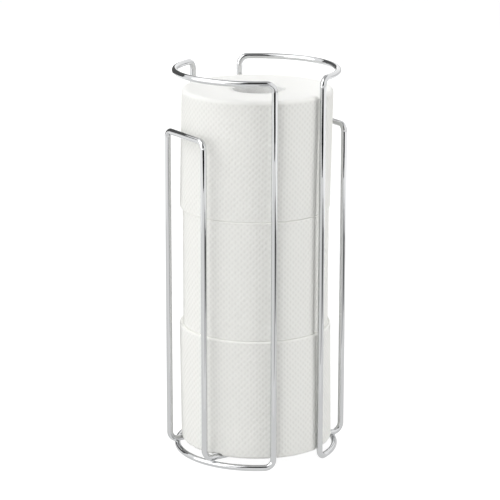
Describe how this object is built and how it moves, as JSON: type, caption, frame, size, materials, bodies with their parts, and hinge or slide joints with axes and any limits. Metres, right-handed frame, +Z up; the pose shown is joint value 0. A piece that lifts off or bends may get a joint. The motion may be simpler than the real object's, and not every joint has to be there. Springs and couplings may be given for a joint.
{
  "type": "toilet roll storage holder",
  "caption": "Free-standing chrome wire stand that stores toilet rolls in a column, between two bent wire hoops joined by a wire cradle, open at the front, back and top.",
  "frame": {"origin": "on the floor, at the centre of the stand's bounding box, which is the axis of the column of rolls", "axes": "+Z up along the uprights, X along the cradle's floor wires, the open gaps between the hoops face -Y and +Y, and the side that the picture shows faces -Y"},
  "size_m": [0.1396, 0.1298, 0.3223],
  "materials": {
    "chrome_wire": "polished",
    "weld_metal": "satin",
    "tissue_paper": "matte",
    "core_board": "matte"
  },
  "bodies": {
    "frame": {"left_hoop": "chrome_wire", "right_hoop": "chrome_wire", "cradle": "chrome_wire", "front_left_weld": "weld_metal", "front_right_weld": "weld_metal", "back_left_weld": "weld_metal", "back_right_weld": "weld_metal"},
    "bottom_roll": {"bottom_roll_core": "core_board", "bottom_roll_paper": "tissue_paper"},
    "middle_roll": {"middle_roll_core": "core_board", "middle_roll_paper": "tissue_paper"},
    "top_roll": {"top_roll_core": "core_board", "top_roll_paper": "tissue_paper"}
  },
  "joints": [
    {"name": "bottom_roll_lift", "type": "slide", "parent": "frame", "child": "bottom_roll", "axis": [0, 0, 1], "range_m": [0, 0.325]},
    {"name": "middle_roll_lift", "type": "slide", "parent": "bottom_roll", "child": "middle_roll", "axis": [0, 0, 1], "range_m": [0, 0.227]},
    {"name": "top_roll_lift", "type": "slide", "parent": "middle_roll", "child": "top_roll", "axis": [0, 0, 1], "range_m": [0, 0.128]}
  ]
}
